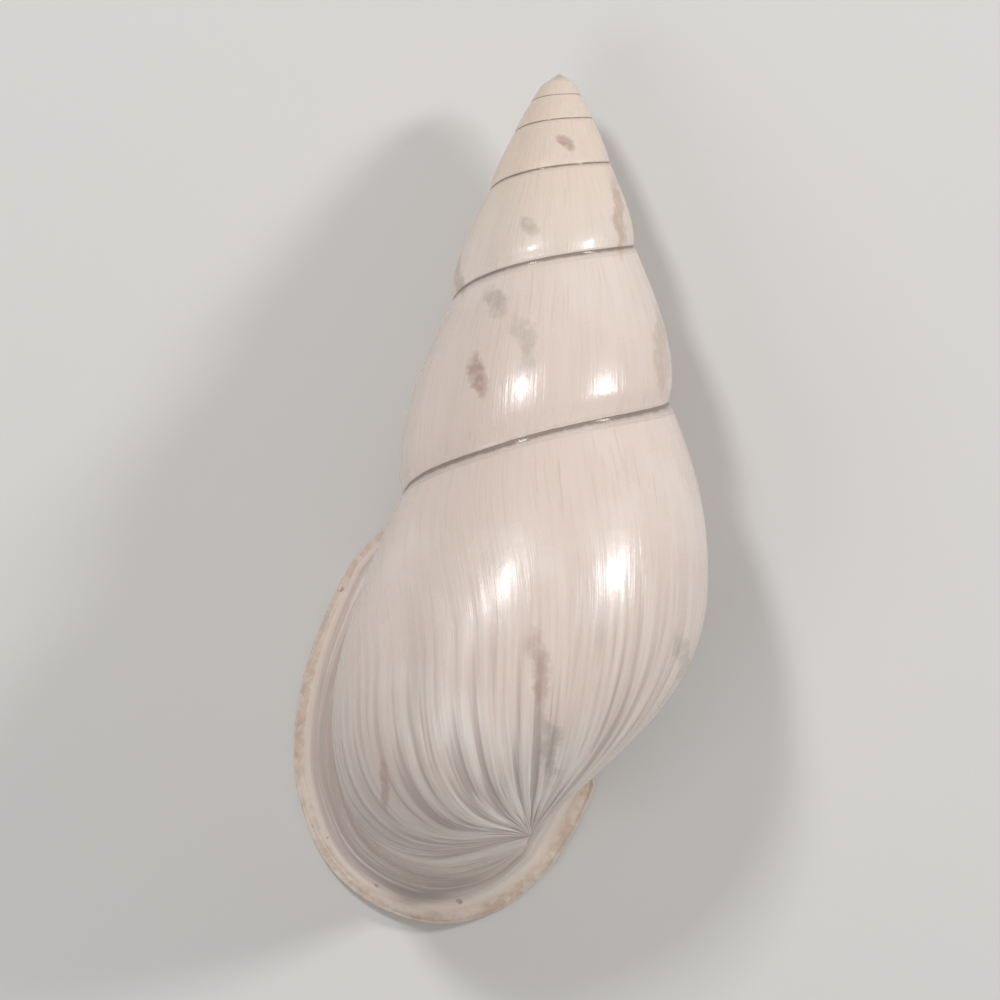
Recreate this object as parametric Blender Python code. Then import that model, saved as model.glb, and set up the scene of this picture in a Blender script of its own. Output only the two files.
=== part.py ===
"""A dextral snail shell with a long spire and a flared lip, lying on its aperture.

The shell hangs on one rule. The suture is a helico-spiral that drops and widens by a fixed ratio each
turn, and every growth line is a section drawn from the suture to the base. The last turn is complete:
its sections run on round the base to the tip of the columella. The lip turns out from the last section
to a flat rim, and a smooth hollow follows the whorls back from the mouth.
World: X across, Y along the shell with the apex at +Y, Z up. The rim lies on Z = 0.
"""
from math import cos, exp, pi, radians, sin

import bmesh
import bpy
import numpy as np

MM = 0.001

# Growth of the suture, counted in turns; turn 0 is the last crossing of the back.
GROWTH = 1.891  # drop along the axis per turn
SUTURE_DROP = 34.27 * MM  # from the apex at turn 0
SUTURE_RADIUS = 11.97 * MM  # at turn 0
APEX_OFFSET = 0.49 * MM
SPREAD = 0.63  # power of the drop that the radius follows
LAST_TURN = 0.375
FIRST_TURN = -5.2
SUTURE_LIFT = 2.63 * MM  # the suture levels off before the lip
SUTURE_TUCK = 0.79 * MM
DOME = (0.45 * MM, 0.9 * MM)  # the apex is blunter than the rule by this much, over this drop
AXIS_LENGTH = 67.8 * MM  # apex to the tip of the columella

# Sections of the last turn: turn, widest radius and its drop, base shoulder radius and its drop,
# angle of the wall at the suture, at the shoulder and at the tip, handle at the shoulder and at the tip.
SECTION_KEYS = (
    (-0.625, 13.42, 37.6, 13.15, 40.0, 22, 6, 0, 0.45, 0.50),
    (-0.45, 14.03, 41.2, 12.28, 51.3, 23, 28, 12, 0.40, 0.42),
    (-0.25, 14.70, 45.2, 9.38, 57.9, 25, 42, 40, 0.35, 0.33),
    (0.0, 15.87, 50.3, 10.90, 62.4, 25, 50, 60, 0.35, 0.33),
    (0.25, 17.30, 56.8, 12.70, 67.6, 24, 58, 96, 0.35, 0.38),
    (0.375, 18.00, 57.8, 13.20, 68.6, 22, 60, 104, 0.35, 0.40),
)
UPPER_HANDLES = (0.38, 0.36)
LOWER_HANDLE = 0.38
EARLY_BULGE = 0.3  # share of the full bulge left near the apex
BULGE_FROM = -3.6  # turn at which the bulge starts to grow
LIP_LAG = radians(32)  # how far the mouth's outer wall trails the suture
LAG_FROM = -0.15

# How the shell lies.
AXIS_TILT = radians(9.0)  # apex down
AXIS_LEAN = radians(2.2)  # apex towards +X
APEX_HEIGHT = 7.45 * MM

# Lip.
WALL = 1.0 * MM
THIN_WALL = 0.4 * MM
RIM = 1.3 * MM  # thickness at the edge
REST_BAND = 1.6 * MM  # width of the flat that the shell rests on
CALLUS = 0.55 * MM
CALLUS_BAND = 0.9 * MM
CORNER = (0.4, 0.1)  # how much of a callus the outer lip still is where it meets the suture
CORNER_ROOM = (0.2, 0.35, 0.6, 0.85)  # how much of its full thickness it has there
INNER_SHIFT = 0.125  # turns by which the inner lip stands off the old aperture wall
INNER_SHIFT_OVER = 0.36  # share of the base over which that builds up
SHIFT_FADE = 0.4  # turns over which the growth lines come back to the rule
# Edge of the lip from the suture round the mouth: x, y and height over the ground.
OUTER_EDGE = (
    (-6.3, -1.8, 3.0), (-9.1, -1.1, 0.6), (-10.9, -2.7, 0), (-13.1, -5.4, 0), (-15.6, -10.6, 0),
    (-17.4, -15.8, 0), (-18.2, -21.3, 0), (-17.9, -25.5, 0), (-16.1, -30.8, 0), (-13.2, -34.3, 0),
    (-8.9, -36.7, 0), (-4.4, -37.4, 0), (0.4, -36.0, 0), (4.5, -32.5, 0),
)
INNER_EDGE = ((4.5, -32.5, 0), (7.1, -28.2, 0), (8.7, -23.9, 0.2), (8.6, -19.9, 1.2), (6.2, -16.6, 2.6))

# Hollow.
HOLLOW_TURNS = 2.9
MOUTH_SET = 0.035  # turns from the last growth line to the mouth of the hollow
SOFTNESS = 6.0  # how many harmonics of the section the hollow keeps
INSETS = 5  # steps in which the outline moves in by the wall
COLUMELLA = 2.6 * MM
PILLAR = 1.1 * MM  # least radius of the columella behind the hollow

# Mesh.
STEPS_PER_TURN = 32
HOLLOW_STEPS = 18
UPPER, LOWER, BASE = 6, 4, 7  # columns from suture to widest, to the shoulder and to the tip
LIP_ROWS = 5
LINED = (3, 1, 0)  # which rows of the back the rows inside the lip follow
THROAT = (0.25, 0.5, 0.75)  # where those rows lie on the callus, from the lip to the hollow
WALL_FOOT = (0.25, 0.65)  # where the last two of them stand on the old wall, from the lip to the hollow
TRACE = 256  # points on a traced section

FIRST_KEY = SECTION_KEYS[0][0]
APEX = (5.24 * MM, 37.49 * MM, APEX_HEIGHT)
DOWN = np.array((0.0, 0.0, -1.0))


def ease(x):
    x = np.clip(x, 0, 1)
    return x * x * (3 - 2 * x)


def unit(v):
    return v / np.maximum(np.linalg.norm(v, axis=-1, keepdims=True), 1e-12)


def bezier(a, b, c, d, count):
    t = np.linspace(0, 1, count + 1)[:, None]
    return (1 - t) ** 3 * a + 3 * (1 - t) ** 2 * t * b + 3 * (1 - t) * t * t * c + t**3 * d


def hermite(a, slope_a, b, slope_b, t):
    t2, t3 = t * t, t**3
    return (
        (2 * t3 - 3 * t2 + 1) * a
        + (t3 - 2 * t2 + t) * slope_a
        + (3 * t2 - 2 * t3) * b
        + (t3 - t2) * slope_b
    )


def shares(points):
    """How far along the path each point lies, by its first two columns."""
    steps = np.linalg.norm(np.diff(points[:, :2], axis=0), axis=1)
    along = np.concatenate([[0], np.cumsum(steps)])
    return along / along[-1]


def looked_up(at, known, points):
    return np.stack([np.interp(at, known, points[:, k]) for k in range(points.shape[1])], axis=1)


def spaced(points, at):
    """The path's points at these shares of its length."""
    return looked_up(at, shares(points), points)


def rounded(points, per_span=12):
    """A smooth path through hand-set points."""
    points = np.asarray(points, float)
    slopes = np.gradient(points, axis=0)
    path = [
        hermite(points[i], slopes[i], points[i + 1], slopes[i + 1], t)
        for i in range(len(points) - 1)
        for t in np.arange(per_span) / per_span
    ]
    return np.array([*path, points[-1]])


def suture(turn):
    """Radius and drop of the suture."""
    drop = SUTURE_DROP * GROWTH**turn - APEX_OFFSET
    radius = SUTURE_RADIUS * (drop / SUTURE_DROP) ** SPREAD + DOME[0] * exp(-drop / DOME[1])
    tuck = SUTURE_TUCK * ease((turn + 0.15) / 0.4)
    lift = SUTURE_LIFT * ease((turn - 0.05) / (LAST_TURN - 0.05))
    return np.array((radius - tuck, drop - lift))


def key_values(turn):
    """The section keys at this turn, on a smooth path through them."""
    keys = np.array(SECTION_KEYS)
    keys[0, 3:5] = suture(LAST_TURN) / MM
    turns = keys[:, 0]
    slopes = np.gradient(keys, turns, axis=0)
    i = int(np.clip(np.searchsorted(turns, turn) - 1, 0, len(turns) - 2))
    span = turns[i + 1] - turns[i]
    t = (turn - turns[i]) / span
    return hermite(keys[i], slopes[i] * span, keys[i + 1], slopes[i + 1] * span, t)[1:]


def full_section(turn):
    """A section of the last turn, from the suture round the base to the tip: radius and drop."""
    values = key_values(turn)
    wide, shoulder = values[0:2] * MM, values[2:4] * MM
    at_suture, at_shoulder, at_tip = np.radians(values[4:7])
    start, tip = suture(turn), np.array((0, AXIS_LENGTH))
    leave = np.array((sin(at_suture), cos(at_suture)))
    turn_in = np.array((-sin(at_shoulder), cos(at_shoulder)))
    arrive = np.array((-sin(at_tip), cos(at_tip)))
    along = np.array((0, 1))
    height = wide[1] - start[1]
    low = np.linalg.norm(shoulder - wide)
    last = np.linalg.norm(tip - shoulder)
    parts = (
        bezier(
            start,
            start + leave * UPPER_HANDLES[0] * height,
            wide - along * UPPER_HANDLES[1] * height,
            wide,
            UPPER,
        ),
        bezier(
            wide,
            wide + along * LOWER_HANDLE * low,
            shoulder - turn_in * values[7] * low,
            shoulder,
            LOWER,
        )[1:],
        bezier(
            shoulder,
            shoulder + turn_in * LOWER_HANDLE * last,
            tip - arrive * values[8] * last,
            tip,
            BASE,
        )[1:],
    )
    return np.vstack(parts)


def section(turn):
    """A section at any turn. Before the last turn it is the first full one, drawn to a smaller size."""
    if turn >= FIRST_KEY:
        return full_section(turn)
    model = full_section(FIRST_KEY)
    visible = UPPER + LOWER + 1
    model_top, model_low = suture(FIRST_KEY), suture(LAST_TURN)
    top, low = suture(turn), suture(turn + 1)
    chord = model_low - model_top
    size = np.linalg.norm(chord)
    side = np.array((chord[1], -chord[0])) / size
    offset = (model[:visible] - model_top) @ side / size
    along = (model[:visible] - model_top) @ chord / size**2
    drop = low - top
    out = np.array((drop[1], -drop[0]))
    bulge = EARLY_BULGE + (1 - EARLY_BULGE) * ease((turn - BULGE_FROM) / (FIRST_KEY - BULGE_FROM))
    upper = top + np.outer(along, drop) + np.outer(offset * bulge, out)
    tip = AXIS_LENGTH * low[1] / model_low[1]
    under = model[visible:].copy()
    under[:, 0] *= low[0] / model_low[0]
    under[:, 1] = low[1] + (under[:, 1] - model_low[1]) * (tip - low[1]) / (AXIS_LENGTH - model_low[1])
    return np.vstack((upper, under))


def lag(turn):
    """How far each column of a section trails the suture, in radians."""
    down_wall = np.minimum(np.arange(UPPER + LOWER + BASE + 1) / UPPER, 1)
    return LIP_LAG * ease(down_wall) * ease((turn - LAG_FROM) / (LAST_TURN - LAG_FROM))


def place(turn, flat, trail=0.0):
    """Radius and drop at this turn, as points of the shell as it lies."""
    angle = pi / 2 + 2 * pi * turn - trail
    x = flat[..., 0] * np.cos(angle)
    z = flat[..., 0] * np.sin(angle)
    y = -flat[..., 1]
    up = y * cos(AXIS_TILT) + z * sin(AXIS_TILT)
    out = z * cos(AXIS_TILT) - y * sin(AXIS_TILT)
    across = x * cos(AXIS_LEAN) + up * sin(AXIS_LEAN)
    along = up * cos(AXIS_LEAN) - x * sin(AXIS_LEAN)
    return np.stack((across, along, out), axis=-1) + np.array(APEX)


def shift(column):
    """Turns by which each column of the base starts later than the first full section."""
    return INNER_SHIFT * ease((column - UPPER - LOWER) / BASE / INNER_SHIFT_OVER)


def growth_point(turn, column, ahead=0.0):
    """A point of the last turn, on the row that this turn gives."""
    late = shift(column) * (1 - ease((turn - FIRST_KEY) / SHIFT_FADE))
    at = turn + late + ahead
    return place(at, section(at)[column], lag(at)[column])


def growth_line(turn):
    return np.array([growth_point(turn, column) for column in range(UPPER + LOWER + BASE + 1)])


def softened(ring, depth):
    """The closed outline with its corners rounded and set in by this depth."""
    wave = np.fft.fftfreq(TRACE, 1 / TRACE)
    soft = np.exp(-((wave / SOFTNESS) ** 2) / INSETS)
    line = np.fft.fft(ring[:, 0] + 1j * ring[:, 1]) * soft
    trail = np.fft.ifft(np.fft.fft(ring[:, 2]) * soft).real
    path, heading = np.fft.ifft(line), np.fft.ifft(line * 1j * wave)
    path = path + depth * 1j * heading / np.abs(heading)
    return np.column_stack((path.real, path.imag, trail, ring[:, 3]))


def hollow_ring(turn, size):
    """The whorl's own outline as a closed ring, and the share of it that is the outer wall."""
    outer = np.column_stack((section(turn), lag(turn)))
    behind = section(turn - 1)[UPPER + LOWER :]
    inner = np.column_stack((behind, np.zeros(len(behind))))
    if outer[-1, 1] > inner[-1, 1] + THIN_WALL:
        inner = np.vstack((inner, (0, outer[-1, 1], 0)))
    inner[:, 0] = np.maximum(inner[:, 0], PILLAR * size)
    core = COLUMELLA * size * (1 - 0.5 * ease((turn - FIRST_KEY) / 0.6))
    even = np.linspace(0, 1, TRACE)
    outer = spaced(outer, even)
    outer = outer[(outer[:, 0] >= core) | (even < 0.33)]
    inner = spaced(inner[::-1], even)
    inner = inner[inner[:, 1] <= outer[-1, 1]]
    ring = np.vstack((outer, inner))
    return np.column_stack((ring, shares(ring))), shares(ring)[len(outer) - 1]


def hollow_section(turn):
    """The hollow's section: radius, drop and trail of each column."""
    size = min(1, suture(turn)[1] / suture(FIRST_KEY)[1])
    ring, split = hollow_ring(turn, size)
    wall = max(THIN_WALL, WALL * size)
    for _ in range(INSETS):
        ring = softened(spaced(ring, np.arange(TRACE) / TRACE), wall / INSETS)
        end = ring[0] + (0, 0, 0, 1)
        ring = np.vstack((ring, end))
    outer_at = shares(section(turn)) * split
    inner_at = split + (1 - split) * np.arange(1, BASE) / BASE
    at = np.concatenate((outer_at, inner_at))
    return looked_up(at, ring[:, 3], ring[:, :3])


class Sheet:
    """Gathers points and faces."""

    def __init__(self):
        self.points, self.faces = [], []

    def add(self, points):
        first = len(self.points)
        self.points.extend(np.asarray(points, float).reshape(-1, 3))
        return list(range(first, len(self.points)))

    def bridge(self, above, below, closed=False):
        """Quads between two rows of point numbers; equal numbers close up."""
        count = len(above)
        for i in range(count if closed else count - 1):
            j = (i + 1) % count
            corners = [above[i], above[j], below[j], below[i]]
            corners = [c for k, c in enumerate(corners) if c != corners[k - 1]]
            if len(corners) > 2:
                self.faces.append(corners)


def outside_rows(sheet):
    """The growth lines, with each suture welded to the whorl above. Returns the last two turns' ends."""
    count = round((LAST_TURN - FIRST_TURN) * STEPS_PER_TURN)
    turns = LAST_TURN - np.arange(count, -1, -1) / STEPS_PER_TURN
    visible = UPPER + LOWER + 1
    tip = sheet.add(place(0, np.array((0, AXIS_LENGTH))))
    apex = sheet.add(place(0, np.array((0, 0))))
    rows = []
    for i, turn in enumerate(turns):
        whole = turn > FIRST_KEY - 0.5 / STEPS_PER_TURN
        line = growth_line(turn) if whole else place(turn, section(turn))
        length = len(line) - 1 if whole else visible
        if i < STEPS_PER_TURN:
            row = sheet.add(line[:length])
        else:
            row = [rows[i - STEPS_PER_TURN][visible - 1]] + sheet.add(line[1:length])
        rows.append(row + tip if whole else row)
    for first, second in zip(rows, rows[1:]):
        width = min(len(first), len(second))
        sheet.bridge(second[:width], first[:width])
    cap_apex(sheet, rows, apex[0])
    return rows[-1], rows[-1 - STEPS_PER_TURN]


def cap_apex(sheet, rows, apex):
    """Closes the first turn over the apex."""
    rim = [row[0] for row in rows[: STEPS_PER_TURN + 1]]
    for a, b in zip(rim, rim[1:]):
        sheet.faces.append([apex, b, a])
    sheet.faces.append([apex, *rows[0][: UPPER + LOWER + 1]])


def wall_normal(turn, column):
    """The way out of the wall of an earlier whorl, under the callus."""
    here = place(turn, section(turn))
    down_line = here[column + 1] - here[column - 1]
    grow = place(turn + 0.01, section(turn + 0.01)[column]) - here[column]
    return unit(np.cross(grow, down_line))


def lip_frames():
    """Round the mouth: the wall's end, its direction, its edge and the callus share of each column."""
    step = 0.01
    columns = range(UPPER + LOWER + BASE + 1)
    outer = growth_line(LAST_TURN)
    grow = unit(outer - growth_line(LAST_TURN - step))
    grow[-1] = DOWN
    inside = range(UPPER + LOWER + BASE - 1, UPPER + LOWER, -1)
    inner = np.array([growth_point(FIRST_KEY, c) for c in inside])
    around = unit(np.array([growth_point(FIRST_KEY, c, step) for c in inside]) - inner)
    proud = np.array([wall_normal(FIRST_KEY + shift(c), c) for c in inside])
    outer_edge = spaced(rounded(OUTER_EDGE), shares(outer[:, :2])) * MM
    depth = np.arange(1, BASE) / BASE
    inner_edge = spaced(rounded(INNER_EDGE), depth) * MM
    callus = ease((depth - 0.45) / 0.4)[:, None]
    first = unit(np.tile(DOWN + np.array((-0.2, 0, 0)), (len(inner), 1)))
    start = np.vstack((outer, inner))
    leave = np.vstack((grow, first))
    edge = np.vstack((outer_edge, inner_edge))
    corner = np.concatenate((CORNER, np.zeros(len(columns) - len(CORNER))))[:, None]
    share = np.vstack((corner, callus))
    proud = np.vstack((np.tile(DOWN, (len(columns), 1)), proud))
    around = np.vstack((grow, around))
    return start, leave, edge, share, proud, around


def wall_path(t):
    """The old wall under the callus, from the inner lip (t = 0) in to the hollow (t = 1)."""
    path = []
    cover = CALLUS + (WALL - CALLUS) * t
    for column in range(UPPER + LOWER + BASE - 1, UPPER + LOWER, -1):
        start = FIRST_KEY + shift(column)
        turn = start + (FIRST_KEY - MOUTH_SET - start) * t
        path.append(place(turn, section(turn)[column]) + wall_normal(turn, column) * cover)
    return np.array(path)


def lined(rows, room):
    """The inside of the lip: its back moved in by the wall, towards the middle of the mouth."""
    across = np.roll(rows, -1, axis=1) - np.roll(rows, 1, axis=1)
    normal = unit(np.cross(across[1:-1], rows[2:] - rows[:-2]))
    middle = rows.reshape(-1, 3).mean(axis=0)
    towards = ((middle - rows[1:-1]) * normal).sum()
    return rows[1:-1] + normal * np.sign(towards) * WALL * room


def edge_rows(start, edge, share, proud, around, room):
    """The back of the edge, its tip, its front and the inside of the flat that the shell rests on."""
    path = np.vstack((edge[-1:], edge, edge[:1]))
    out = unit(np.cross((path[2:] - path[:-2]) * (1, 1, 0), (0, 0, 1)))
    out *= np.sign(((edge - edge.mean(axis=0)) * out).sum(axis=1, keepdims=True))
    inset = 0.35 * RIM * room
    band = REST_BAND * room
    raised = start + proud * CALLUS
    lip = (
        edge - out * inset - DOWN * RIM * room,
        edge - DOWN * RIM * 0.45 * room,
        edge - out * inset,
        edge - out * (inset + band),
    )
    callus = (
        start + proud * CALLUS * 0.6,
        raised,
        raised - around * CALLUS * room,
        raised - around * (CALLUS + CALLUS_BAND) * room,
    )
    return out, [(1 - share) * a + share * b for a, b in zip(lip, callus)]


def lip_rows(inward):
    """Rows of points from the wall's end round the lip and in to the mouth of the hollow."""
    start, leave, edge, share, proud, around = lip_frames()
    room = np.ones((len(start), 1))
    room[: len(CORNER_ROOM), 0] = CORNER_ROOM
    room[-1] = CORNER_ROOM[1]
    out, (back, tip, front, rest) = edge_rows(start, edge, share, proud, around, room)
    shell = 1 - share
    reach = np.linalg.norm(back - start, axis=1, keepdims=True)
    rows = [
        hermite(start, leave * reach * 1.15, back, out * shell * reach * 0.85, t)
        for t in np.arange(1, LIP_ROWS + 1) / LIP_ROWS
    ]
    lining = lined(np.array([start, *rows]), room)[LINED, :]
    straight = np.array([rest + (inward - rest) * t for t in THROAT])
    foot = len(lining[0]) - BASE + 1
    straight[1, foot:] = wall_path(WALL_FOOT[0])
    straight[2, foot:] = wall_path(WALL_FOOT[1])
    lining += share * (straight - lining)
    lining[2, foot:] = straight[2, foot:]
    return [*rows, tip, front, rest, *lining]


def hollow_rows():
    """Sections of the hollow from the mouth back, each placed as it lies."""
    count = round(HOLLOW_TURNS * HOLLOW_STEPS)
    rows = []
    for turn in LAST_TURN - MOUTH_SET - np.arange(count + 1) / HOLLOW_STEPS:
        found = hollow_section(turn)
        rows.append(place(turn, found[:, :2], found[:, 2]))
    return rows


def shell_mesh():
    sheet = Sheet()
    last, first = outside_rows(sheet)
    hollow = hollow_rows()
    inner = first[UPPER + LOWER + 1 : -1][::-1]
    ring = last + inner
    for points in lip_rows(hollow[0]) + hollow:
        following = sheet.add(points)
        sheet.bridge(ring, following, closed=True)
        ring = following
    end = sheet.add(hollow[-1].mean(axis=0))
    sheet.bridge(ring, end * len(ring), closed=True)
    points = np.array(sheet.points)
    points[:, 2] = np.maximum(points[:, 2], 0)
    low, high = points.min(axis=0), points.max(axis=0)
    points[:, :2] -= (low + high)[:2] / 2
    mesh = bpy.data.meshes.new("shell")
    mesh.from_pydata(points, [], sheet.faces)
    return mesh


def close_up(mesh):
    """Faces outward, everything in triangles, round surfaces shaded smooth."""
    work = bmesh.new()
    work.from_mesh(mesh)
    bmesh.ops.triangulate(work, faces=work.faces)
    bmesh.ops.recalc_face_normals(work, faces=work.faces)
    work.to_mesh(mesh)
    work.free()
    mesh.shade_smooth()


def shell_material():
    material = bpy.data.materials.new("glossy_shell")
    material.use_nodes = True
    surface = material.node_tree.nodes["Principled BSDF"]
    surface.inputs["Base Color"].default_value = (0.72, 0.59, 0.50, 1)
    surface.inputs["Roughness"].default_value = 0.28
    surface.inputs["Metallic"].default_value = 0
    return material


def main():
    for old in list(bpy.data.objects):
        bpy.data.objects.remove(old)
    mesh = shell_mesh()
    close_up(mesh)
    mesh.materials.append(shell_material())
    shell = bpy.data.objects.new("shell", mesh)
    bpy.context.scene.collection.objects.link(shell)


main()
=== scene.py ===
import math

import bmesh
import bpy
import numpy as np
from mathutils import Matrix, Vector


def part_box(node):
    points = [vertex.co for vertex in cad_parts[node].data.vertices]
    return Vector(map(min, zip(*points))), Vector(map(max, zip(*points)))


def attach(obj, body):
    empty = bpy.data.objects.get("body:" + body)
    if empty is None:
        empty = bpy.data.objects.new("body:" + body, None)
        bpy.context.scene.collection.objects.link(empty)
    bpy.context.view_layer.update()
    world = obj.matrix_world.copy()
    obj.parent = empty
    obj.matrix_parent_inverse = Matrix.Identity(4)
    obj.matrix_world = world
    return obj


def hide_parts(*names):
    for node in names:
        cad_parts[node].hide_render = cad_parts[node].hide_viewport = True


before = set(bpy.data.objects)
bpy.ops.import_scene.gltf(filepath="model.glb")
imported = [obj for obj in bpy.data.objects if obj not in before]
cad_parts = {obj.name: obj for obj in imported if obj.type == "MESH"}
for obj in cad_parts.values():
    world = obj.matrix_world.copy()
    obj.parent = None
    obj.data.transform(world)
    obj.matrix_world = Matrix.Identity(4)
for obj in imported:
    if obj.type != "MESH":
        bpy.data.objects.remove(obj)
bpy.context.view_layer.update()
print("frame loaded")

mm = 0.001


class Wire:
    # one output socket, so that sums are written as sums
    def __init__(self, tree, socket):
        self.tree = tree
        self.socket = socket

    def math(self, operation, *others):
        return self.tree.add("ShaderNodeMath", {"operation": operation}, [self, *others])

    def __add__(self, other):
        return self.math("ADD", other)

    def __radd__(self, other):
        return self.math("ADD", other)

    def __sub__(self, other):
        return self.math("SUBTRACT", other)

    def __rsub__(self, other):
        return self.tree.add("ShaderNodeMath", {"operation": "SUBTRACT"}, [other, self])

    def __mul__(self, other):
        return self.math("MULTIPLY", other)

    def __rmul__(self, other):
        return self.math("MULTIPLY", other)

    def __truediv__(self, other):
        return self.math("DIVIDE", other)

    def sine(self):
        return self.math("SINE")

    def most(self, other):
        return self.math("MAXIMUM", other)

    def ramp(self, start, end, low=0.0, high=1.0):
        # smooth step from low to high while the value goes from start to end
        settings = {"interpolation_type": "SMOOTHSTEP", "clamp": True}
        values = {"Value": self, "From Min": start, "From Max": end, "To Min": low, "To Max": high}
        return self.tree.add("ShaderNodeMapRange", settings, values)


class Nodes:
    def __init__(self, tree):
        self.tree = tree

    def make(self, kind, settings=None, values=None):
        # settings go on first, because they decide which sockets there are
        node = self.tree.nodes.new(kind)
        for name, value in (settings or {}).items():
            setattr(node, name, value)
        pairs = values.items() if isinstance(values, dict) else enumerate(values or [])
        for key, value in pairs:
            socket = node.inputs[key]
            if isinstance(value, Wire):
                self.tree.links.new(value.socket, socket)
            else:
                socket.default_value = value
        return node

    def add(self, kind, settings=None, values=None, output=0):
        return Wire(self, self.make(kind, settings, values).outputs[output])

    def noise(self, place, scale, detail, rough):
        values = {"Vector": place, "Scale": scale, "Detail": detail, "Roughness": rough}
        return self.add("ShaderNodeTexNoise", {"noise_dimensions": "3D"}, values)

    def joined(self, x, y, z):
        return self.add("ShaderNodeCombineXYZ", None, [x, y, z])

    def mixed(self, share, first, second):
        # colours only
        node = self.make("ShaderNodeMix", {"data_type": "RGBA"})
        for index, value in ((0, share), (6, first), (7, second)):
            if isinstance(value, Wire):
                self.tree.links.new(value.socket, node.inputs[index])
            else:
                node.inputs[index].default_value = value if index == 0 else (*value, 1)
        return Wire(self, node.outputs[2])


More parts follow.
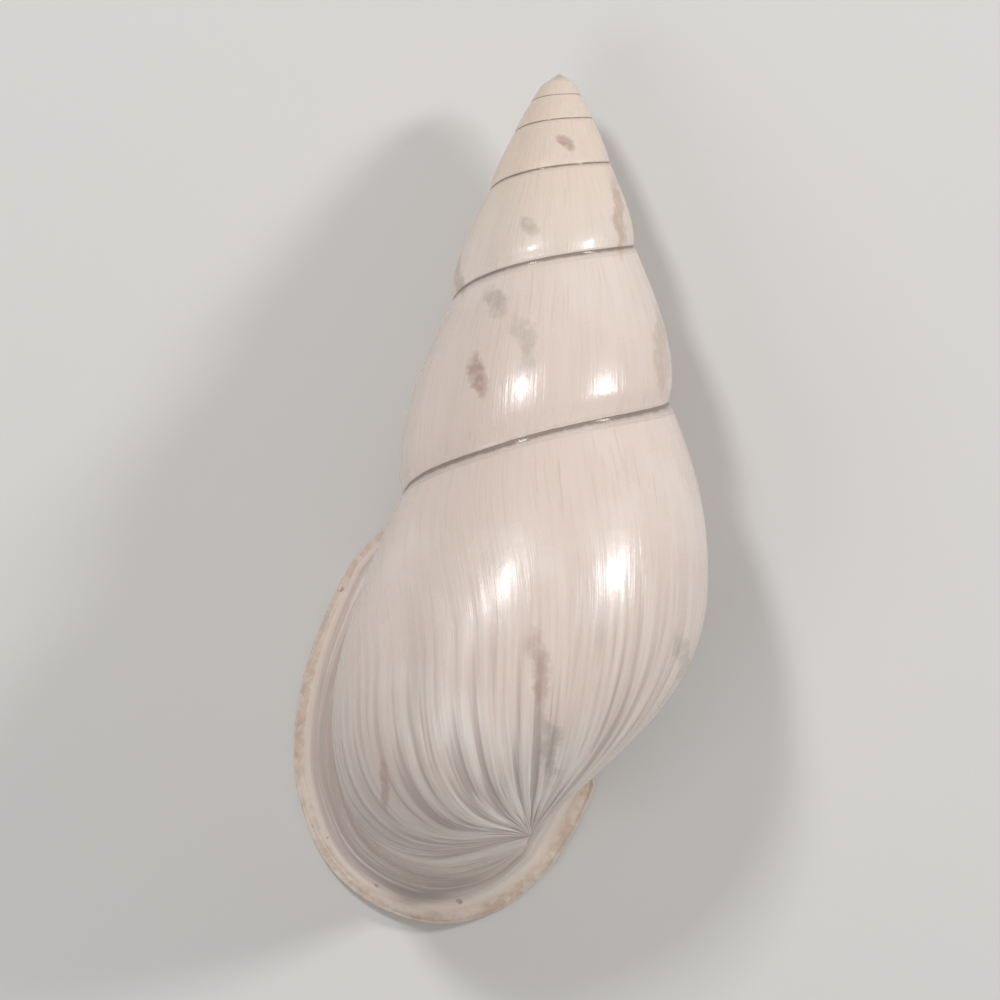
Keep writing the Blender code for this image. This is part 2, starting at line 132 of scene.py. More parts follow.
snailShell = {
    "growth": {
        "dropPerTurn": 1.891,          # how much further along the axis the suture is after each turn
        "sutureDrop": 34.27 * mm,      # from the apex, at the last crossing of the back
        "sutureRadius": 11.97 * mm,
        "apexOffset": 0.49 * mm,
        "spread": 0.63,
        "lastTurn": 0.375,
        "firstTurn": -5.2,
        "sutureLift": 2.63 * mm,
        "liftFrom": 0.05,              # the suture levels off before the lip
        "sutureTuck": 0.79 * mm,
        "tuckFrom": -0.15,
        "tuckOver": 0.4,
        "dome": (0.45 * mm, 0.9 * mm),
        "axisLength": 67.8 * mm,
        "upperHandles": (0.38, 0.36),
        "lowerHandle": 0.38,
        "earlyBulge": 0.3,
        "bulgeFrom": -3.6,
        "lipLag": math.radians(32),
        "lagFrom": -0.15,
        # turn, widest radius and drop, shoulder radius and drop,
        # angles at suture, shoulder and tip, two handles
        "sections": (
            (-0.625, 13.42, 37.6, 13.15, 40.0, 22, 6, 0, 0.45, 0.50),
            (-0.45, 14.03, 41.2, 12.28, 51.3, 23, 28, 12, 0.40, 0.42),
            (-0.25, 14.70, 45.2, 9.38, 57.9, 25, 42, 40, 0.35, 0.33),
            (0.0, 15.87, 50.3, 10.90, 62.4, 25, 50, 60, 0.35, 0.33),
            (0.25, 17.30, 56.8, 12.70, 67.6, 24, 58, 96, 0.35, 0.38),
            (0.375, 18.00, 57.8, 13.20, 68.6, 22, 60, 104, 0.35, 0.40),
        ),
    },
    "lie": {
        "tilt": math.radians(9.0),     # apex down
        "lean": math.radians(2.2),     # apex to the right
        "apex": (5.24 * mm, 37.49 * mm, 7.45 * mm),
    },
    "lip": {
        "wall": 1.0 * mm,
        "thinWall": 0.4 * mm,
        "rim": 1.3 * mm,               # thickness at the edge
        "rimInset": 0.35,              # of that thickness
        "restBand": 1.6 * mm,          # flat that the shell stands on
        "callus": 0.55 * mm,
        "callusBand": 0.9 * mm,
        "cornerColumns": (0, 3, 6, 9, 12),
        "corner": (0.4, 0.1, 0),       # towards the suture the outer lip thins into the callus
        "cornerRoom": (0.2, 0.35, 0.6, 0.85, 1.0),
        "footRoom": (0.8, 0.55, 0.35),
        "callusFrom": 0.45,            # share of the base
        "callusOver": 0.4,
        "rounding": ((0.75, 0.78), (0.3, 0.94), (0.0, 0.45), (0.3, 0.08)),
        "innerShift": 0.125,
        "innerShiftOver": 0.36,
        "shiftFade": 0.4,
        "growTurns": 0.06,             # how far on in growth the edge of the lip is
        "outerEdge": (
            (-6.3, -1.8, 3.0), (-9.1, -1.1, 0.6), (-10.9, -2.7, 0), (-13.1, -5.4, 0), (-15.6, -10.6, 0),
            (-17.4, -15.8, 0), (-18.2, -21.3, 0), (-17.9, -25.5, 0), (-16.1, -30.8, 0), (-13.2, -34.3, 0),
            (-8.9, -36.7, 0), (-4.4, -37.4, 0), (0.4, -36.0, 0), (4.5, -32.5, 0),
        ),
        "innerEdge": (
            (4.5, -32.5, 0), (7.1, -28.2, 0), (8.7, -23.9, 0.2), (8.6, -19.9, 1.2), (6.2, -16.6, 2.6),
        ),
        "backRows": 28,
        "throatShares": (0.15, 0.3, 0.45, 0.6, 0.75, 0.9),
        "wallRows": ((3, 0.2), (4, 0.4), (5, 0.7)),
    },
    "hollow": {
        "turns": 2.9,
        "mouthSet": 0.035,             # turns from the last growth line
        "softness": 6.0,               # harmonics of the section that are kept
        "insets": 5,
        "columella": 2.6 * mm,
        "pillar": 1.1 * mm,
        "stepsPerTurn": 40,
        "trace": 256,
    },
    "mesh": {"stepsPerTurn": 200, "upper": 18, "lower": 12, "base": 21},
    "relief": {
        "ridgeDepth": 0.16 * mm,       # growth ridges on the lower half of the last whorl
        "wrinkleDepth": 0.035 * mm,
        "groove": 0.15 * mm,           # dip of the suture
        "ridgesPerTurn": 78,
        "ridgeStretch": 2.2,
        "ridgesFrom": (-0.35, -0.05),  # turns
        "seed": 7,
    },
    "paint": {
        "body": (0.755, 0.635, 0.57),
        "bodyPale": (0.84, 0.755, 0.70),
        "spire": (0.78, 0.65, 0.54),
        "ridge": (0.86, 0.78, 0.72),
        # mauve of the growth lines, also used as painted shade in the lip valley and towards the lower left
        "mauve": (0.40, 0.325, 0.30),
        "streak": (0.42, 0.27, 0.17),
        "suture": (0.30, 0.225, 0.18),
        "bruise": (0.30, 0.17, 0.13),
        "smudge": (0.30, 0.27, 0.22),
        "rim": (0.82, 0.70, 0.60),
        # colour of the painted groove shade along the rim
        "rimLine": (0.45, 0.30, 0.2),
        "tan": (0.52, 0.40, 0.27),
        "wanderScale": 330.0,
        "grainScale": 1100.0,
        "cloudScale": 60.0,
        "pitScale": 700.0,
        "roughness": 0.24,
        "bumpStrength": 0.6,
        "bumpDepth": 0.3 * mm,
        "coat": 0.25,
        "coatRoughness": 0.12,
        "softLight": 0.08,
        "softLightDepth": 2 * mm,
    },
    "marks": (
        # middle and half sizes in mm, colour, strength
        (5.7, 31.3, 0.6, 0.6, "bruise", 0.6),
        (2.5, 24.1, 0.8, 0.7, "smudge", 0.4),
        (-0.3, 17.3, 0.7, 1.3, "smudge", 0.45),
        (2.4, 13.2, 0.9, 2.4, "smudge", 0.35),
        (-1.9, 10.2, 0.6, 1.7, "bruise", 0.6),
        (3.3, -14.8, 0.7, 3.2, "bruise", 0.4),
        (-10.1, -24.8, 0.35, 1.9, "bruise", 0.45),
        (4.2, -21.5, 0.8, 2.4, "smudge", 0.4),
        (10.3, 25.5, 0.5, 3.0, "streak", 0.6),
        (-3.6, 20.0, 0.4, 2.0, "streak", 0.5),
        (14.2, 13.4, 0.5, 5.0, "streak", 0.4),
        (16.0, -14.2, 0.6, 2.2, "smudge", 0.4),
        (8.6, -23.0, 3.2, 4.6, "tan", 0.55),
    ),
}
growth, lie, lip = (snailShell[name] for name in ("growth", "lie", "lip"))
hollow, mesh, relief = (snailShell[name] for name in ("hollow", "mesh", "relief"))
paint, marks = snailShell["paint"], snailShell["marks"]

firstFull = growth["sections"][0][0]
shoulderAt = mesh["upper"] + mesh["lower"]
tipAt = shoulderAt + mesh["base"]
down = np.array((0.0, 0.0, -1.0))


def ease(x):
    x = np.clip(x, 0, 1)
    return x * x * (3 - 2 * x)


def unit(v):
    return v / np.maximum(np.linalg.norm(v, axis=-1, keepdims=True), 1e-12)


def bezier(a, b, c, d, count):
    t = np.linspace(0, 1, count + 1)[:, None]
    return (1 - t) ** 3 * a + 3 * (1 - t) ** 2 * t * b + 3 * (1 - t) * t * t * c + t**3 * d


def hermite(a, slopeA, b, slopeB, t):
    t2, t3 = t * t, t**3
    return (2 * t3 - 3 * t2 + 1) * a + (t3 - 2 * t2 + t) * slopeA + (3 * t2 - 2 * t3) * b + (t3 - t2) * slopeB


def shares(points):
    steps = np.linalg.norm(np.diff(points[:, :2], axis=0), axis=1)
    along = np.concatenate([[0], np.cumsum(steps)])
    return along / along[-1]


def lookedUp(at, known, points):
    return np.stack([np.interp(at, known, points[:, k]) for k in range(points.shape[1])], axis=1)


def spaced(points, at):
    return lookedUp(at, shares(points), points)


def rounded(points, perSpan=16):
    points = np.asarray(points, float)
    slopes = np.gradient(points, axis=0)
    path = [hermite(points[i], slopes[i], points[i + 1], slopes[i + 1], t)
            for i in range(len(points) - 1) for t in np.arange(perSpan) / perSpan]
    return np.array([*path, points[-1]])


def suture(turn):
    drop = growth["sutureDrop"] * growth["dropPerTurn"] ** turn - growth["apexOffset"]
    blunt, over = growth["dome"]
    radius = growth["sutureRadius"] * (drop / growth["sutureDrop"]) ** growth["spread"]
    radius += blunt * math.exp(-drop / over)
    tuck = growth["sutureTuck"] * ease((turn - growth["tuckFrom"]) / growth["tuckOver"])
    liftOver = growth["lastTurn"] - growth["liftFrom"]
    lift = growth["sutureLift"] * ease((turn - growth["liftFrom"]) / liftOver)
    return np.array((radius - tuck, drop - lift))


def keyValues(turn):
    keys = np.array(growth["sections"])
    keys[0, 3:5] = suture(growth["lastTurn"]) / mm
    turns = keys[:, 0]
    slopes = np.gradient(keys, turns, axis=0)
    i = int(np.clip(np.searchsorted(turns, turn) - 1, 0, len(turns) - 2))
    span = turns[i + 1] - turns[i]
    t = (turn - turns[i]) / span
    return hermite(keys[i], slopes[i] * span, keys[i + 1], slopes[i + 1] * span, t)[1:]


sectionsMade = {}


def fullSection(turn):
    key = round(turn, 7)
    if key in sectionsMade:
        return sectionsMade[key]
    values = keyValues(turn)
    wide, shoulder = values[0:2] * mm, values[2:4] * mm
    atSuture, atShoulder, atTip = np.radians(values[4:7])
    start, tip = suture(turn), np.array((0, growth["axisLength"]))
    leave = np.array((math.sin(atSuture), math.cos(atSuture)))
    turnIn = np.array((-math.sin(atShoulder), math.cos(atShoulder)))
    arrive = np.array((-math.sin(atTip), math.cos(atTip)))
    along = np.array((0, 1))
    height = wide[1] - start[1]
    low = np.linalg.norm(shoulder - wide)
    last = np.linalg.norm(tip - shoulder)
    upperA, upperB = growth["upperHandles"]
    lower = growth["lowerHandle"]
    parts = (
        bezier(start, start + leave * upperA * height, wide - along * upperB * height, wide, mesh["upper"]),
        bezier(wide, wide + along * lower * low, shoulder - turnIn * values[7] * low,
               shoulder, mesh["lower"])[1:],
        bezier(shoulder, shoulder + turnIn * lower * last, tip - arrive * values[8] * last,
               tip, mesh["base"])[1:],
    )
    sectionsMade[key] = np.vstack(parts)
    return sectionsMade[key]


def section(turn):
    # before the last turn it is the first full section, drawn smaller
    if turn >= firstFull:
        return fullSection(turn)
    model = fullSection(firstFull)
    visible = shoulderAt + 1
    modelTop, modelLow = suture(firstFull), suture(growth["lastTurn"])
    top, low = suture(turn), suture(turn + 1)
    chord = modelLow - modelTop
    size = np.linalg.norm(chord)
    side = np.array((chord[1], -chord[0])) / size
    offset = (model[:visible] - modelTop) @ side / size
    along = (model[:visible] - modelTop) @ chord / size**2
    drop = low - top
    out = np.array((drop[1], -drop[0]))
    early = growth["earlyBulge"]
    bulge = early + (1 - early) * ease((turn - growth["bulgeFrom"]) / (firstFull - growth["bulgeFrom"]))
    upper = top + np.outer(along, drop) + np.outer(offset * bulge, out)
    tip = growth["axisLength"] * low[1] / modelLow[1]
    under = model[visible:].copy()
    under[:, 0] *= low[0] / modelLow[0]
    under[:, 1] = low[1] + (under[:, 1] - modelLow[1]) * (tip - low[1]) / (growth["axisLength"] - modelLow[1])
    return np.vstack((upper, under))


def lag(turn):
    downWall = np.minimum(np.arange(tipAt + 1) / mesh["upper"], 1)
    share = (turn - growth["lagFrom"]) / (growth["lastTurn"] - growth["lagFrom"])
    return growth["lipLag"] * ease(downWall) * ease(share)


# The sheet is kept uncoiled: radius, drop and angle round the axis. The coil tree winds it up.

def flat(turn, radiusDrop, trail=0.0):
    angle = math.pi / 2 + 2 * math.pi * turn - trail + np.zeros(np.shape(radiusDrop)[:-1])
    return np.stack((radiusDrop[..., 0], radiusDrop[..., 1], angle), axis=-1)


def wound(points):
    # the same winding as the coil tree does, for points that the lip is measured from
    x = points[..., 0] * np.cos(points[..., 2])
    z = points[..., 0] * np.sin(points[..., 2])
    y = -points[..., 1]
    tilt, lean = lie["tilt"], lie["lean"]
    up = y * math.cos(tilt) + z * math.sin(tilt)
    out = z * math.cos(tilt) - y * math.sin(tilt)
    across = x * math.cos(lean) + up * math.sin(lean)
    along = up * math.cos(lean) - x * math.sin(lean)
    return np.stack((across, along, out), axis=-1) + np.array(lie["apex"])


def unwound(points):
    p = np.asarray(points) - np.array(lie["apex"])
    tilt, lean = lie["tilt"], lie["lean"]
    x = p[..., 0] * math.cos(lean) - p[..., 1] * math.sin(lean)
    up = p[..., 0] * math.sin(lean) + p[..., 1] * math.cos(lean)
    y = up * math.cos(tilt) - p[..., 2] * math.sin(tilt)
    z = up * math.sin(tilt) + p[..., 2] * math.cos(tilt)
    return np.stack((np.hypot(x, z), -y, np.arctan2(z, x)), axis=-1)


def place(turn, radiusDrop, trail=0.0):
    return wound(flat(turn, radiusDrop, trail))


def shift(column):
    return lip["innerShift"] * ease((column - shoulderAt) / mesh["base"] / lip["innerShiftOver"])


def growthPoint(turn, column, ahead=0.0):
    late = shift(column) * (1 - ease((turn - firstFull) / lip["shiftFade"]))
    at = round(turn + late + ahead, 7)
    return flat(at, section(at)[column], lag(at)[column]), at


def growthLine(turn):
    found = [growthPoint(turn, column) for column in range(tipAt + 1)]
    return np.array([f[0] for f in found]), np.array([f[1] for f in found])


# what each point of the sheet knows: growth turn, share down the wall, how far out on the lip, inside, suture
markNames = ("turn", "down", "lip", "inside", "seam")


class Sheet:
    def __init__(self):
        self.points, self.faces, self.marks = [], [], []

    def add(self, points, turns, downs, lips, insides, seams=0):
        first = len(self.points)
        points = np.asarray(points, float).reshape(-1, 3)
        count = len(points)
        self.points.extend(points)
        ones = np.ones(count)
        self.marks.extend(zip(turns * ones, downs * ones, lips * ones, insides * ones, seams * ones))
        return list(range(first, first + count))

    def bridge(self, above, below, closed=False):
        count = len(above)
        for i in range(count if closed else count - 1):
            j = (i + 1) % count
            corners = [above[i], above[j], below[j], below[i]]
            corners = [c for k, c in enumerate(corners) if c != corners[k - 1]]
            if len(corners) > 2:
                self.faces.append(corners)


def outsideRows(sheet):
    steps = mesh["stepsPerTurn"]
    count = round((growth["lastTurn"] - growth["firstTurn"]) * steps)
    turns = growth["lastTurn"] - np.arange(count, -1, -1) / steps
    visible = shoulderAt + 1
    downs = np.arange(tipAt + 1) / tipAt
    tip = sheet.add([(0, growth["axisLength"], 0)], 0.1, 1.0, 0, 0)
    apex = sheet.add([(0, 0, 0)], growth["firstTurn"], 0.2, 0, 0)
    rows = []
    for i, turn in enumerate(turns):
        whole = turn > firstFull - 0.5 / steps
        if whole:
            line, at = growthLine(turn)
        else:
            line, at = flat(turn, section(turn)), np.full(tipAt + 1, turn)
        length = tipAt if whole else visible
        # the suture is where a later whorl is welded on
        seams = np.zeros(tipAt + 1)
        seams[shoulderAt] = 1.0 if i + steps <= count else 0.0
        if i < steps:
            row = sheet.add(line[:length], at[:length], downs[:length], 0, 0, seams[:length])
        else:
            added = sheet.add(line[1:length], at[1:length], downs[1:length], 0, 0, seams[1:length])
            row = [rows[i - steps][visible - 1]] + added
        rows.append(row + tip if whole else row)
    for first, second in zip(rows, rows[1:]):
        width = min(len(first), len(second))
        sheet.bridge(second[:width], first[:width])
    rim = [row[0] for row in rows[: steps + 1]]
    for a, b in zip(rim, rim[1:]):
        sheet.faces.append([apex[0], b, a])
    sheet.faces.append([apex[0], *rows[0][: shoulderAt + 1]])
    return rows[-1], rows[-1 - steps]


def wallNormal(turn, column):
    here = place(turn, section(turn))
    grow = place(turn + 0.01, section(turn + 0.01)[column]) - here[column]
    return unit(np.cross(grow, here[column + 1] - here[column - 1]))


def innerColumns():
    return range(tipAt - 1, shoulderAt, -1)


def wallPath(t):
    path = []
    cover = lip["callus"] + (lip["wall"] - lip["callus"]) * t
    for column in innerColumns():
        start = firstFull + shift(column)
        turn = round(start + (firstFull - hollow["mouthSet"] - start) * t, 7)
        path.append(place(turn, section(turn)[column]) + wallNormal(turn, column) * cover)
    return np.array(path)


def lipRows(inward):
    outer = wound(growthLine(growth["lastTurn"])[0])
    grow = unit(outer - wound(growthLine(growth["lastTurn"] - 0.01)[0]))
    grow[-1] = down
    inner = np.array([wound(growthPoint(firstFull, c)[0]) for c in innerColumns()])
    around = unit(np.array([wound(growthPoint(firstFull, c, 0.01)[0]) for c in innerColumns()]) - inner)
    proud = np.array([wallNormal(firstFull + shift(c), c) for c in innerColumns()])
    depth = np.arange(1, mesh["base"]) / mesh["base"]
    outerEdge = spaced(rounded(lip["outerEdge"]), shares(outer[:, :2])) * mm
    innerEdge = spaced(rounded(lip["innerEdge"]), depth) * mm
    start = np.vstack((outer, inner))
    edge = np.vstack((outerEdge, innerEdge))
    leave = np.vstack((grow, unit(np.tile(down + np.array((-0.2, 0, 0)), (len(inner), 1)))))
    columns = lip["cornerColumns"]
    corner = np.interp(np.arange(tipAt + 1), columns[:3], lip["corner"])[:, None]
    share = np.vstack((corner, ease((depth - lip["callusFrom"]) / lip["callusOver"])[:, None]))
    proud = np.vstack((np.tile(down, (tipAt + 1, 1)), proud))
    around = np.vstack((grow, around))
    room = np.interp(np.arange(len(start)), columns, lip["cornerRoom"])[:, None]
    room[-3:, 0] = lip["footRoom"]
    path = np.vstack((edge[-1:], edge, edge[:1]))
    out = unit(np.cross((path[2:] - path[:-2]) * (1, 1, 0), (0, 0, 1)))
    out *= np.sign(((edge - edge.mean(axis=0)) * out).sum(axis=1, keepdims=True))
    inset, thick = lip["rimInset"] * lip["rim"] * room, lip["rim"] * room
    raised = start + proud * lip["callus"]

    def between(a, b):
        return (1 - share) * a + share * b

    back = between(edge - out * inset - down * thick, start + proud * lip["callus"] * 0.6)
    tips = [between(edge - out * inset * a - down * thick * b, raised) for a, b in lip["rounding"]]
    front = between(edge - out * inset, raised - around * lip["callus"] * room)
    rest = between(edge - out * (inset + lip["restBand"] * room),
                   raised - around * (lip["callus"] + lip["callusBand"]) * room)
    reach = np.linalg.norm(back - start, axis=1, keepdims=True)
    ts = np.arange(1, lip["backRows"] + 1) / lip["backRows"]
    rows = [hermite(start, leave * reach * 1.15, back, out * (1 - share) * reach * 0.85, t) for t in ts]
    full = np.array([start, *rows])
    across = np.roll(full, -1, axis=1) - np.roll(full, 1, axis=1)
    normal = unit(np.cross(across[1:-1], full[2:] - full[:-2]))
    normal *= np.sign(((full.reshape(-1, 3).mean(axis=0) - full[1:-1]) * normal).sum())
    lining = full[1:-1] + normal * lip["wall"] * room
    picks = np.linspace(len(lining) - 5, 0, len(lip["throatShares"])).round().astype(int)
    straight = np.array([rest + (inward - rest) * t for t in lip["throatShares"]])
    inside = lining[picks]
    inside += share * (straight - inside)
    first = tipAt + 1
    for k, t in lip["wallRows"]:
        inside[k, first:] = wallPath(t)
    marks = [*ts, *[1.0] * (len(tips) + 2 + len(picks))]
    insides = [0.0] * len(ts) + [0.0, 0.0, 0.3, 0.6, 0.8, 1.0] + [1.0] * len(picks)
    return [*rows, *tips, front, rest, *inside], marks, insides


def softened(ring, depth):
    count = hollow["trace"]
    wave = np.fft.fftfreq(count, 1 / count)
    soft = np.exp(-((wave / hollow["softness"]) ** 2) / hollow["insets"])
    line = np.fft.fft(ring[:, 0] + 1j * ring[:, 1]) * soft
    trail = np.fft.ifft(np.fft.fft(ring[:, 2]) * soft).real
    path, heading = np.fft.ifft(line), np.fft.ifft(line * 1j * wave)
    path = path + depth * 1j * heading / np.abs(heading)
    return np.column_stack((path.real, path.imag, trail, ring[:, 3]))


def hollowSection(turn):
    size = min(1, suture(turn)[1] / suture(firstFull)[1])
    outer = np.column_stack((section(turn), lag(turn)))
    behind = section(turn - 1)[shoulderAt:]
    inner = np.column_stack((behind, np.zeros(len(behind))))
    if outer[-1, 1] > inner[-1, 1] + lip["thinWall"]:
        inner = np.vstack((inner, (0, outer[-1, 1], 0)))
    inner[:, 0] = np.maximum(inner[:, 0], hollow["pillar"] * size)
    core = hollow["columella"] * size * (1 - 0.5 * ease((turn - firstFull) / 0.6))
    even = np.linspace(0, 1, hollow["trace"])
    outer = spaced(outer, even)
    outer = outer[(outer[:, 0] >= core) | (even < 0.33)]
    inner = spaced(inner[::-1], even)
    inner = inner[inner[:, 1] <= outer[-1, 1]]
    ring = np.vstack((outer, inner))
    split = shares(ring)[len(outer) - 1]
    ring = np.column_stack((ring, shares(ring)))
    wall = max(lip["thinWall"], lip["wall"] * size)
    for _ in range(hollow["insets"]):
        ring = softened(spaced(ring, np.arange(hollow["trace"]) / hollow["trace"]), wall / hollow["insets"])
        ring = np.vstack((ring, ring[0] + (0, 0, 0, 1)))
    outerAt = shares(section(turn)) * split
    innerAt = split + (1 - split) * np.arange(1, mesh["base"]) / mesh["base"]
    return lookedUp(np.concatenate((outerAt, innerAt)), ring[:, 3], ring[:, :3])


def shellSheet():
    sheet = Sheet()
    last, first = outsideRows(sheet)
    print("growth lines laid", len(sheet.points))
    turns = growth["lastTurn"] - hollow["mouthSet"] - np.arange(
        round(hollow["turns"] * hollow["stepsPerTurn"]) + 1) / hollow["stepsPerTurn"]
    sections = [hollowSection(turn) for turn in turns]
    rooms = [flat(turn, s[:, :2], s[:, 2]) for turn, s in zip(turns, sections)]
    rows, marks, insides = lipRows(wound(rooms[0]))
    ring = last + first[shoulderAt + 1: -1][::-1]
    columns = np.concatenate((np.arange(tipAt + 1), list(innerColumns()))) / tipAt
    for points, mark, inside in zip(rows, marks, insides):
        grown = growth["lastTurn"] + lip["growTurns"] * mark
        following = sheet.add(unwound(points), grown, columns, mark, inside)
        sheet.bridge(ring, following, closed=True)
        ring = following
    for turn, points in zip(turns, rooms):
        following = sheet.add(points, turn, columns, 0, 1)
        sheet.bridge(ring, following, closed=True)
        ring = following
    end = sheet.add(unwound(wound(rooms[-1]).mean(axis=0)), turns[-1], 0.5, 0, 1)
    sheet.bridge(ring, end * len(ring), closed=True)
    print("lip and hollow laid", len(sheet.points))
    return sheet


def named(tree, name):
    return tree.add("GeometryNodeInputNamedAttribute", {"data_type": "FLOAT"}, {"Name": name})


def ridgeNoise(tree, turn, share, seed):
    # the relief and the paint read the same ridges
    spot = tree.joined(turn * relief["ridgesPerTurn"], share * relief["ridgeStretch"], seed)
    return tree.noise(spot, 1.0, 2.0, 0.5)


def coilTree(finish):
    group = bpy.data.node_groups.new("coilShell", "GeometryNodeTree")
    face = group.interface
    face.new_socket("Geometry", in_out="INPUT", socket_type="NodeSocketGeometry")
    names = ("Tilt", "Lean", "Apex X", "Apex Y", "Apex Z", "Ridge Depth", "Wrinkle Depth", "Groove", "Seed")
    ids = {n: face.new_socket(n, in_out="INPUT", socket_type="NodeSocketFloat").identifier for n in names}
    face.new_socket("Geometry", in_out="OUTPUT", socket_type="NodeSocketGeometry")
    tree = Nodes(group)
    given = tree.make("NodeGroupInput")
    value = {n: Wire(tree, given.outputs[n]) for n in names}
    # wind: radius, drop and angle become a place round the axis
    where = tree.add("GeometryNodeInputPosition")
    apart = tree.make("ShaderNodeSeparateXYZ", None, [where])
    radius, drop, angle = (Wire(tree, o) for o in apart.outputs)
    x = radius * angle.math("COSINE")
    z = radius * angle.sine()
    y = drop * -1
    tilt, lean = value["Tilt"], value["Lean"]
    up = y * tilt.math("COSINE") + z * tilt.sine()
    out = z * tilt.math("COSINE") - y * tilt.sine()
    across = x * lean.math("COSINE") + up * lean.sine()
    along = up * lean.math("COSINE") - x * lean.sine()
    placed = tree.joined(across + value["Apex X"], along + value["Apex Y"], (out + value["Apex Z"]).most(0.0))
    coiled = tree.add("GeometryNodeSetPosition", None,
                      {"Geometry": Wire(tree, given.outputs["Geometry"]), "Position": placed})
    # relief: ridges follow the growth lines, cut inwards only
    turn, share, edge, inside, seam = (named(tree, n) for n in markNames)
    bodyWhorl = turn.ramp(*relief["ridgesFrom"]) * share.ramp(0.16, 0.5) * (1 - share.ramp(0.9, 0.995))
    fade = 1 - inside.ramp(0.0, 0.3)
    ridges = ridgeNoise(tree, turn, share, value["Seed"])
    wrinkles = tree.noise(tree.joined(turn * 120, share * 9, value["Seed"] + 5), 1.0, 3.0, 0.6)
    cut = ridges.ramp(0.35, 0.66) * bodyWhorl * (1 - edge.ramp(0.0, 0.35)) * value["Ridge Depth"]
    cut = cut + wrinkles * value["Wrinkle Depth"] * turn.ramp(-3.0, -1.0)
    suture = seam.ramp(0.2, 1.0) * value["Groove"] * turn.ramp(-4.5, -1.5, 0.35, 1.0)
    cut = (cut + suture) * fade
    normal = tree.add("GeometryNodeInputNormal")
    inwards = tree.add("ShaderNodeVectorMath", {"operation": "SCALE"}, {0: normal, "Scale": cut * -1})
    carved = tree.add("GeometryNodeSetPosition", None, {"Geometry": coiled, "Offset": inwards})
    real = tree.add("GeometryNodeRealizeInstances", None, {"Geometry": carved})
    coated = tree.add("GeometryNodeSetMaterial", None, {"Geometry": real, "Material": finish})
    end = tree.make("NodeGroupOutput")
    group.links.new(coated.socket, end.inputs[0])
    return group, ids


# centre x, y in mm, half sizes x, y in mm, colour, strength


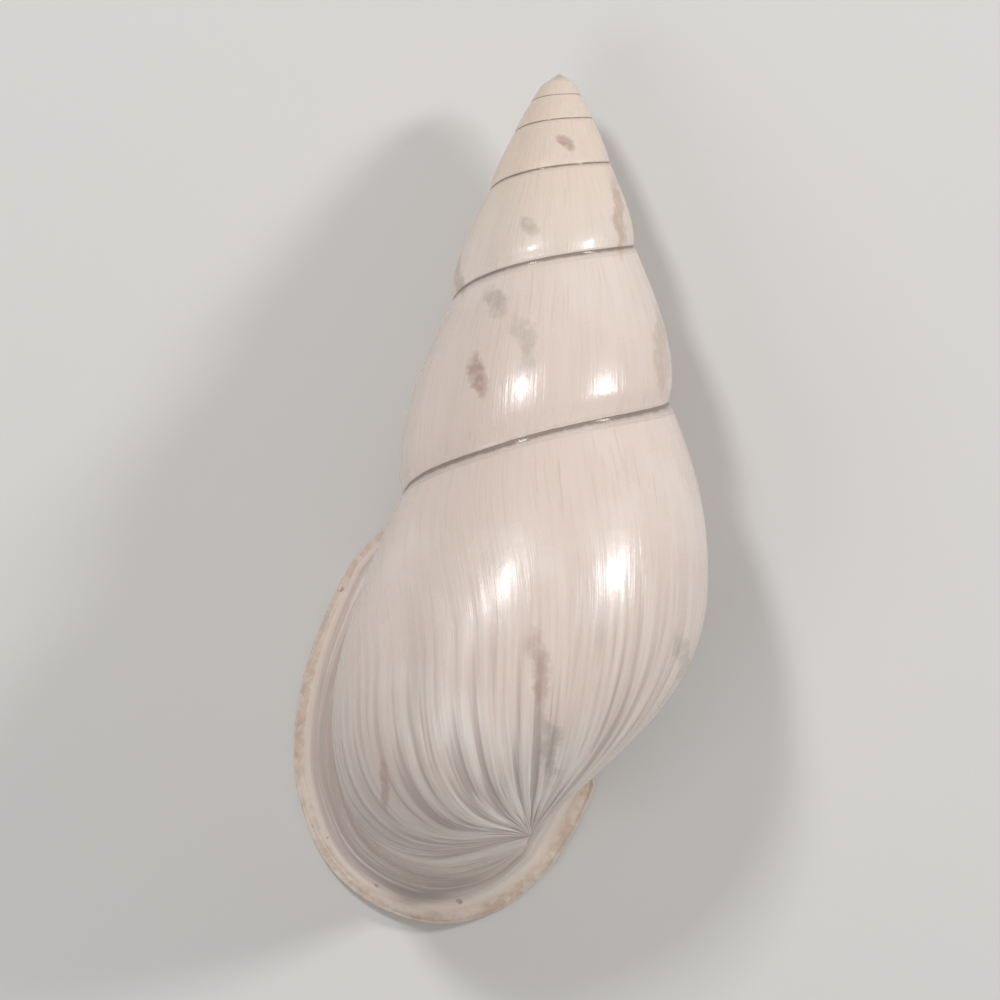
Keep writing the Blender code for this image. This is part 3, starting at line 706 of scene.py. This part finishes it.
def shellFinish():
    material = bpy.data.materials.new("porcelainShell")
    material.use_nodes = True
    material.node_tree.nodes.clear()
    tree = Nodes(material.node_tree)
    turn, share, edge, inside, joint = (tree.add("ShaderNodeAttribute", {"attribute_name": n}, None, 2)
                                        for n in markNames)
    spot = tree.add("ShaderNodeTexCoord", None, None, 3)
    apart = tree.make("ShaderNodeSeparateXYZ", None, [spot])
    x, y, z = (Wire(tree, o) / mm for o in apart.outputs)
    wander = tree.noise(spot, paint["wanderScale"], 4.0, 0.65)
    grain = tree.noise(spot, paint["grainScale"], 3.0, 0.6)
    cloud = tree.noise(spot, paint["cloudScale"], 3.0, 0.55)
    lines = ridgeNoise(tree, turn, share, float(relief["seed"]))
    fine = tree.noise(tree.joined(turn * 210, share * 5.0, 9.0), 1.0, 3.0, 0.6)
    bodyLow = turn.ramp(*relief["ridgesFrom"]) * share.ramp(0.2, 0.6)
    colour = tree.mixed((y + (cloud - 0.5) * 14).ramp(16, 37), paint["body"], paint["spire"])
    colour = tree.mixed(cloud.ramp(0.42, 0.68, 0.0, 0.75) * y.ramp(34, 8), colour, paint["bodyPale"])
    colour = tree.mixed(lines.ramp(0.48, 0.62, 0.0, 0.62) * (0.08 + 0.92 * bodyLow), colour, paint["mauve"])
    colour = tree.mixed(lines.ramp(0.47, 0.36, 0.0, 0.8) * bodyLow, colour, paint["ridge"])
    colour = tree.mixed(fine.ramp(0.55, 0.75, 0.0, 0.22), colour, paint["streak"])
    # painted shade: mauve darkening towards the lower left, where the steep wall above the lip faces away
    # from the lamps
    lowLeftShade = x.ramp(2, -16) * y.ramp(-8, -30)
    colour = tree.mixed(lowLeftShade * 0.6 * (1 - edge.ramp(0.75, 0.9)), colour, paint["mauve"])
    # painted shade: mauve darkening across the concave valley where the back of the lip curves away from the
    # body whorl
    valleyShade = edge.ramp(0.35, 0.75) * (1 - edge.ramp(0.8, 0.96))
    colour = tree.mixed(valleyShade * 0.35, colour, paint["mauve"])
    bands = tree.noise(tree.joined(edge * 13, share * 2.5, 4.0), 1.0, 3.0, 0.6)
    colour = tree.mixed(edge.ramp(0.25, 0.5) * bands.ramp(0.45, 0.7, 0.0, 0.5), colour, paint["mauve"])
    colour = tree.mixed(edge.ramp(0.3, 0.6) * bands.ramp(0.5, 0.32, 0.0, 0.6), colour, paint["ridge"])
    colour = tree.mixed(edge.ramp(0.82, 0.98) * (0.5 + 0.5 * cloud), colour, paint["rim"])
    # painted shade: a broken dark brown line where a thin groove runs along the rim
    rimLine = (edge + (grain - 0.5) * 0.05).ramp(0.93, 0.975) * wander.ramp(0.3, 0.6) * grain.ramp(0.3, 0.6)
    colour = tree.mixed(rimLine * 0.5, colour, paint["rimLine"])
    seam = (joint + (grain - 0.5) * 0.5).ramp(0.52, 0.86)
    near = (joint + (wander - 0.5) * 0.7).ramp(0.2, 0.9)
    colour = tree.mixed(near * 0.35, colour, paint["mauve"])
    colour = tree.mixed(seam * 0.85, colour, paint["suture"])
    for cx, cy, rx, ry, name, strength in marks:
        ex = (x - cx) / rx + (wander - 0.5) * 4.5 + (y - cy) / ry * 0.5
        ey = (y - cy) / ry + (wander - 0.5) * 1.6 + (cloud - 0.5) * 2.0
        near = (ex * ex + ey * ey).ramp(2.2, 0.1) * grain.ramp(0.25, 0.6, 0.45, 1.0)
        above = z.ramp(14, 8) if name == "tan" else z.ramp(6, 9)
        colour = tree.mixed(near * above * strength, colour, paint[name])
    pits = tree.noise(spot, paint["pitScale"], 1.0, 0.5).ramp(0.70, 0.76) * edge.ramp(0.8, 0.9)
    colour = tree.mixed(pits * 0.6, colour, paint["bruise"])
    colour = tree.mixed(inside * 0.5, colour, paint["bodyPale"])
    rough = paint["roughness"] + 0.16 * cloud.ramp(0.4, 0.7) + 0.12 * lines.ramp(0.4, 0.7) * bodyLow
    rough = rough + 0.2 * seam
    ridged = (1 - lines) * bodyLow * (1 - edge.ramp(0.2, 0.6)) * 1.6
    height = ridged + fine * 0.28 + wander * 0.22 + bands * edge.ramp(0.2, 0.5) * 0.9 - seam * 0.8
    bumpValues = {"Strength": paint["bumpStrength"], "Distance": paint["bumpDepth"], "Height": height}
    bump = tree.add("ShaderNodeBump", None, bumpValues)
    surface = tree.make("ShaderNodeBsdfPrincipled", None, {
        "Base Color": colour, "Roughness": rough, "Normal": bump, "IOR": 1.5,
        "Coat Weight": paint["coat"], "Coat Roughness": paint["coatRoughness"],
        "Subsurface Weight": paint["softLight"], "Subsurface Scale": paint["softLightDepth"]})
    end = tree.make("ShaderNodeOutputMaterial")
    material.node_tree.links.new(surface.outputs[0], end.inputs[0])
    return material


def makeShell():
    sheet = shellSheet()
    data = bpy.data.meshes.new("shellSheet")
    data.from_pydata([tuple(p) for p in sheet.points], [], sheet.faces)
    values = np.array(sheet.marks, np.float32)
    for k, name in enumerate(markNames):
        data.attributes.new(name, "FLOAT", "POINT").data.foreach_set("value", values[:, k].copy())
    data.shade_smooth()
    flatShell = bpy.data.objects.new("shellSheet", data)
    bpy.context.scene.collection.objects.link(flatShell)
    finish = shellFinish()
    group, ids = coilTree(finish)
    coil = flatShell.modifiers.new("coil", "NODES")
    coil.node_group = group
    apexX, apexY, apexZ = lie["apex"]
    settings = {"Tilt": lie["tilt"], "Lean": lie["lean"], "Apex X": apexX, "Apex Y": apexY, "Apex Z": apexZ,
                "Ridge Depth": relief["ridgeDepth"],
                "Wrinkle Depth": relief["wrinkleDepth"], "Groove": relief["groove"],
                "Seed": float(relief["seed"])}
    for name, value in settings.items():
        coil[ids[name]] = value
    bpy.context.view_layer.update()
    done = bpy.data.meshes.new_from_object(flatShell.evaluated_get(bpy.context.evaluated_depsgraph_get()))
    bpy.data.objects.remove(flatShell)
    work = bmesh.new()
    work.from_mesh(done)
    bmesh.ops.recalc_face_normals(work, faces=work.faces)
    work.to_mesh(done)
    work.free()
    done.shade_smooth()
    shell = bpy.data.objects.new("snailShell", done)
    bpy.context.scene.collection.objects.link(shell)
    fitToFrame(shell)
    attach(shell, "root")
    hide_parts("shell")
    print("shell coiled", len(done.polygons))


def fitToFrame(shell):
    # the finished surface stays inside the solid's own box
    low, high = (np.array(c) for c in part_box("shell"))
    points = np.empty(len(shell.data.vertices) * 3, np.float32)
    shell.data.vertices.foreach_get("co", points)
    points = np.clip(points.reshape(-1, 3), low, high)
    shell.data.vertices.foreach_set("co", points.ravel())
    shell.data.update()


studio = {
    "floor": (0.70, 0.69, 0.68),
    "floorRoughness": 0.9,
    "floorHalf": 1.5,              # metres
    "sky": 0.34,
    "skyColour": (1, 0.985, 0.965),
    # place in mm, size in mm, strength in watts
    "leftBox": ((-150, 250, 400), (60, 90), 0.8),
    "rightBox": ((390, 150, 260), (60, 100), 1.0),
    "topBox": ((-260, -200, 380), (240, 200), 0.35),
}


def makeStudio():
    world = bpy.data.worlds.new("studio")
    bpy.context.scene.world = world
    world.use_nodes = True
    sky = world.node_tree.nodes["Background"]
    sky.inputs["Color"].default_value = (*studio["skyColour"], 1)
    sky.inputs["Strength"].default_value = studio["sky"]
    for name in ("leftBox", "rightBox", "topBox"):
        at, size, power = studio[name]
        light = bpy.data.lights.new(name, "AREA")
        light.shape = "RECTANGLE"
        light.size, light.size_y = size[0] * mm, size[1] * mm
        light.energy = power
        holder = bpy.data.objects.new(name, light)
        holder.location = [a * mm for a in at]
        aim = -np.array(at, float)
        turned = math.atan2(aim[1], aim[0]) - math.pi / 2
        holder.rotation_euler = math.atan2(np.hypot(aim[0], aim[1]), -aim[2]), 0, turned
        bpy.context.scene.collection.objects.link(holder)
    floorMesh = bpy.data.meshes.new("floor")
    half = studio["floorHalf"]
    corners = [(-half, -half, 0), (half, -half, 0), (half, half, 0), (-half, half, 0)]
    floorMesh.from_pydata(corners, [], [(0, 1, 2, 3)])
    card = bpy.data.materials.new("paleCard")
    card.use_nodes = True
    cardShader = card.node_tree.nodes["Principled BSDF"]
    cardShader.inputs["Base Color"].default_value = (*studio["floor"], 1)
    cardShader.inputs["Roughness"].default_value = studio["floorRoughness"]
    floorMesh.materials.append(card)
    floor = bpy.data.objects.new("floor", floorMesh)
    bpy.context.scene.collection.objects.link(floor)
    print("studio ready")


view = {"lens": 800.0, "across": 87.7 * mm, "focusHeight": 12 * mm, "sensor": 36.0, "farthest": 50}


def makeCamera():
    data = bpy.data.cameras.new("above")
    data.lens = view["lens"]
    data.sensor_width = view["sensor"]
    data.clip_end = view["farthest"]
    camera = bpy.data.objects.new("above", data)
    camera.location = (0, 0, view["focusHeight"] + view["across"] * view["lens"] / view["sensor"])
    bpy.context.scene.collection.objects.link(camera)
    bpy.context.scene.camera = camera
    bpy.context.scene.view_settings.view_transform = "Standard"


makeShell()
makeStudio()
makeCamera()
